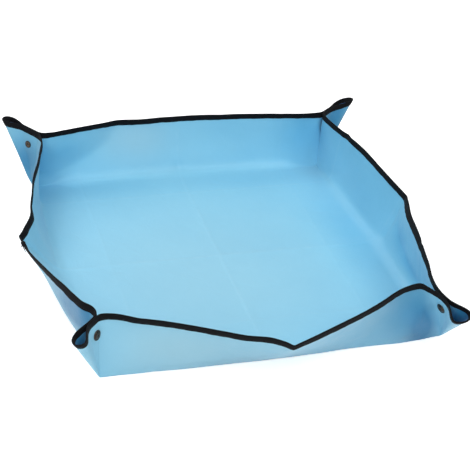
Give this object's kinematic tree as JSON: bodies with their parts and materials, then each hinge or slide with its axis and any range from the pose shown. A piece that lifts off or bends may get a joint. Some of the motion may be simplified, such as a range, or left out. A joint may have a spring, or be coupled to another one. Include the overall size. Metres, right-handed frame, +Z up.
{
  "type": "repotting mat",
  "caption": "Square of blue coated cloth with black bound edges, its corners pinched and held by snaps so that it stands as a shallow tray for potting work.",
  "frame": {"origin": "middle of the underside of the floor panel, where the mat rests on a table", "axes": "+Z up out of the tray; +Y from the front wall, nearest in the picture, to the back wall; +X to the right"},
  "size_m": [0.6269, 0.6241, 0.1023],
  "materials": {
    "cloth": "sky-blue waterproof coated cloth with a soft satin sheen, fine weave and packing creases",
    "binding_tape": "black bias tape doubled over the edge and stitched, matt",
    "snap_metal": "dark antique brass"
  },
  "bodies": {
    "floor": {"floor_panel": "cloth"},
    "front_side": {"front_wall": "cloth", "front_binding": "binding_tape"},
    "right_side": {"right_wall": "cloth", "right_binding": "binding_tape"},
    "back_side": {"back_wall": "cloth", "back_binding": "binding_tape"},
    "left_side": {"left_wall": "cloth", "left_binding": "binding_tape", "binding_lap": "binding_tape"},
    "front_side_left_ear": {"front_wall_left_ear": "cloth", "front_binding_left_ear": "binding_tape", "snap_cap_front_left": "snap_metal", "snap_socket_front_left": "snap_metal"},
    "front_side_right_ear": {"front_wall_right_ear": "cloth", "front_binding_right_ear": "binding_tape", "snap_cap_front_right": "snap_metal", "snap_socket_front_right": "snap_metal"},
    "right_side_front_ear": {"right_wall_front_ear": "cloth", "right_binding_front_ear": "binding_tape", "snap_stud_front_right": "snap_metal", "snap_eyelet_front_right": "snap_metal"},
    "right_side_back_ear": {"right_wall_back_ear": "cloth", "right_binding_back_ear": "binding_tape", "snap_stud_back_right": "snap_metal", "snap_eyelet_back_right": "snap_metal"},
    "back_side_right_ear": {"back_wall_right_ear": "cloth", "back_binding_right_ear": "binding_tape", "snap_cap_back_right": "snap_metal", "snap_socket_back_right": "snap_metal"},
    "back_side_left_ear": {"back_wall_left_ear": "cloth", "back_binding_left_ear": "binding_tape", "snap_cap_back_left": "snap_metal", "snap_socket_back_left": "snap_metal"},
    "left_side_back_ear": {"left_wall_back_ear": "cloth", "left_binding_back_ear": "binding_tape", "snap_stud_back_left": "snap_metal", "snap_eyelet_back_left": "snap_metal"},
    "left_side_front_ear": {"left_wall_front_ear": "cloth", "left_binding_front_ear": "binding_tape", "snap_stud_front_left": "snap_metal", "snap_eyelet_front_left": "snap_metal"}
  },
  "joints": [
    {"name": "front_wall_fold", "type": "hinge", "parent": "floor", "child": "front_side", "pos_m": [0.00738, -0.25349, 0.0004], "axis": [1, 0.0098, 0], "range_deg": [0, 36]},
    {"name": "right_wall_fold", "type": "hinge", "parent": "floor", "child": "right_side", "pos_m": [0.25339, -0.00123, 0.0004], "axis": [-0.0355, 0.9994, 0], "range_deg": [0, 36]},
    {"name": "back_wall_fold", "type": "hinge", "parent": "floor", "child": "back_side", "pos_m": [-0.00369, 0.24695, 0.0004], "axis": [-1, -0.0075, 0], "range_deg": [0, 36]},
    {"name": "left_wall_fold", "type": "hinge", "parent": "floor", "child": "left_side", "pos_m": [-0.2499, -0.00553, 0.0004], "axis": [0.0101, -0.9999, 0], "range_deg": [0, 36]},
    {"name": "front_wall_left_ear_fold", "type": "hinge", "parent": "front_side", "child": "front_side_left_ear", "pos_m": [-0.24354, -0.24916, 0.0004], "axis": [-0.0003, 0.1772, 0.9842], "range_deg": [-39.6, 0]},
    {"name": "front_wall_right_ear_fold", "type": "hinge", "parent": "front_side", "child": "front_side_right_ear", "pos_m": [0.2583, -0.24424, 0.0004], "axis": [-0.3074, -0.1347, 0.942], "range_deg": [0, 68.4]},
    {"name": "right_wall_front_ear_fold", "type": "hinge", "parent": "right_side", "child": "right_side_front_ear", "pos_m": [0.259, -0.24354, 0.0004], "axis": [-0.249, -0.1222, 0.9608], "range_deg": [0, 3.6]},
    {"name": "right_wall_back_ear_fold", "type": "hinge", "parent": "right_side", "child": "right_side_back_ear", "pos_m": [0.24178, 0.24108, 0.0004], "axis": [0.0674, 0.2057, 0.9763], "range_deg": [0, 54]},
    {"name": "back_wall_right_ear_fold", "type": "hinge", "parent": "back_side", "child": "back_side_right_ear", "pos_m": [0.24108, 0.24178, 0.0004], "axis": [0.038, 0.2589, 0.9651], "range_deg": [-3.6, 0]},
    {"name": "back_wall_left_ear_fold", "type": "hinge", "parent": "back_side", "child": "back_side_left_ear", "pos_m": [-0.24846, 0.23809, 0.0004], "axis": [0.1282, 0.1057, 0.9861], "range_deg": [0, 36]},
    {"name": "left_wall_back_ear_fold", "type": "hinge", "parent": "left_side", "child": "left_side_back_ear", "pos_m": [-0.24916, 0.23739, 0.0004], "axis": [0.0811, 0.0687, 0.9943], "range_deg": [-28.8, 0]},
    {"name": "left_wall_front_ear_fold", "type": "hinge", "parent": "left_side", "child": "left_side_front_ear", "pos_m": [-0.24424, -0.24846, 0.0004], "axis": [-0.0434, 0.2197, 0.9746], "range_deg": [0, 21.6]}
  ],
  "couplings": [
    {"joint": "right_wall_fold", "follows": "front_wall_fold", "ratio": 1},
    {"joint": "back_wall_fold", "follows": "front_wall_fold", "ratio": 1},
    {"joint": "left_wall_fold", "follows": "front_wall_fold", "ratio": 1},
    {"joint": "front_wall_left_ear_fold", "follows": "front_wall_fold", "ratio": -1.1},
    {"joint": "front_wall_right_ear_fold", "follows": "front_wall_fold", "ratio": 1.9},
    {"joint": "right_wall_front_ear_fold", "follows": "front_wall_fold", "ratio": 0.1},
    {"joint": "right_wall_back_ear_fold", "follows": "front_wall_fold", "ratio": 1.5},
    {"joint": "back_wall_right_ear_fold", "follows": "front_wall_fold", "ratio": -0.1},
    {"joint": "back_wall_left_ear_fold", "follows": "front_wall_fold", "ratio": 1},
    {"joint": "left_wall_back_ear_fold", "follows": "front_wall_fold", "ratio": -0.8},
    {"joint": "left_wall_front_ear_fold", "follows": "front_wall_fold", "ratio": 0.6}
  ]
}
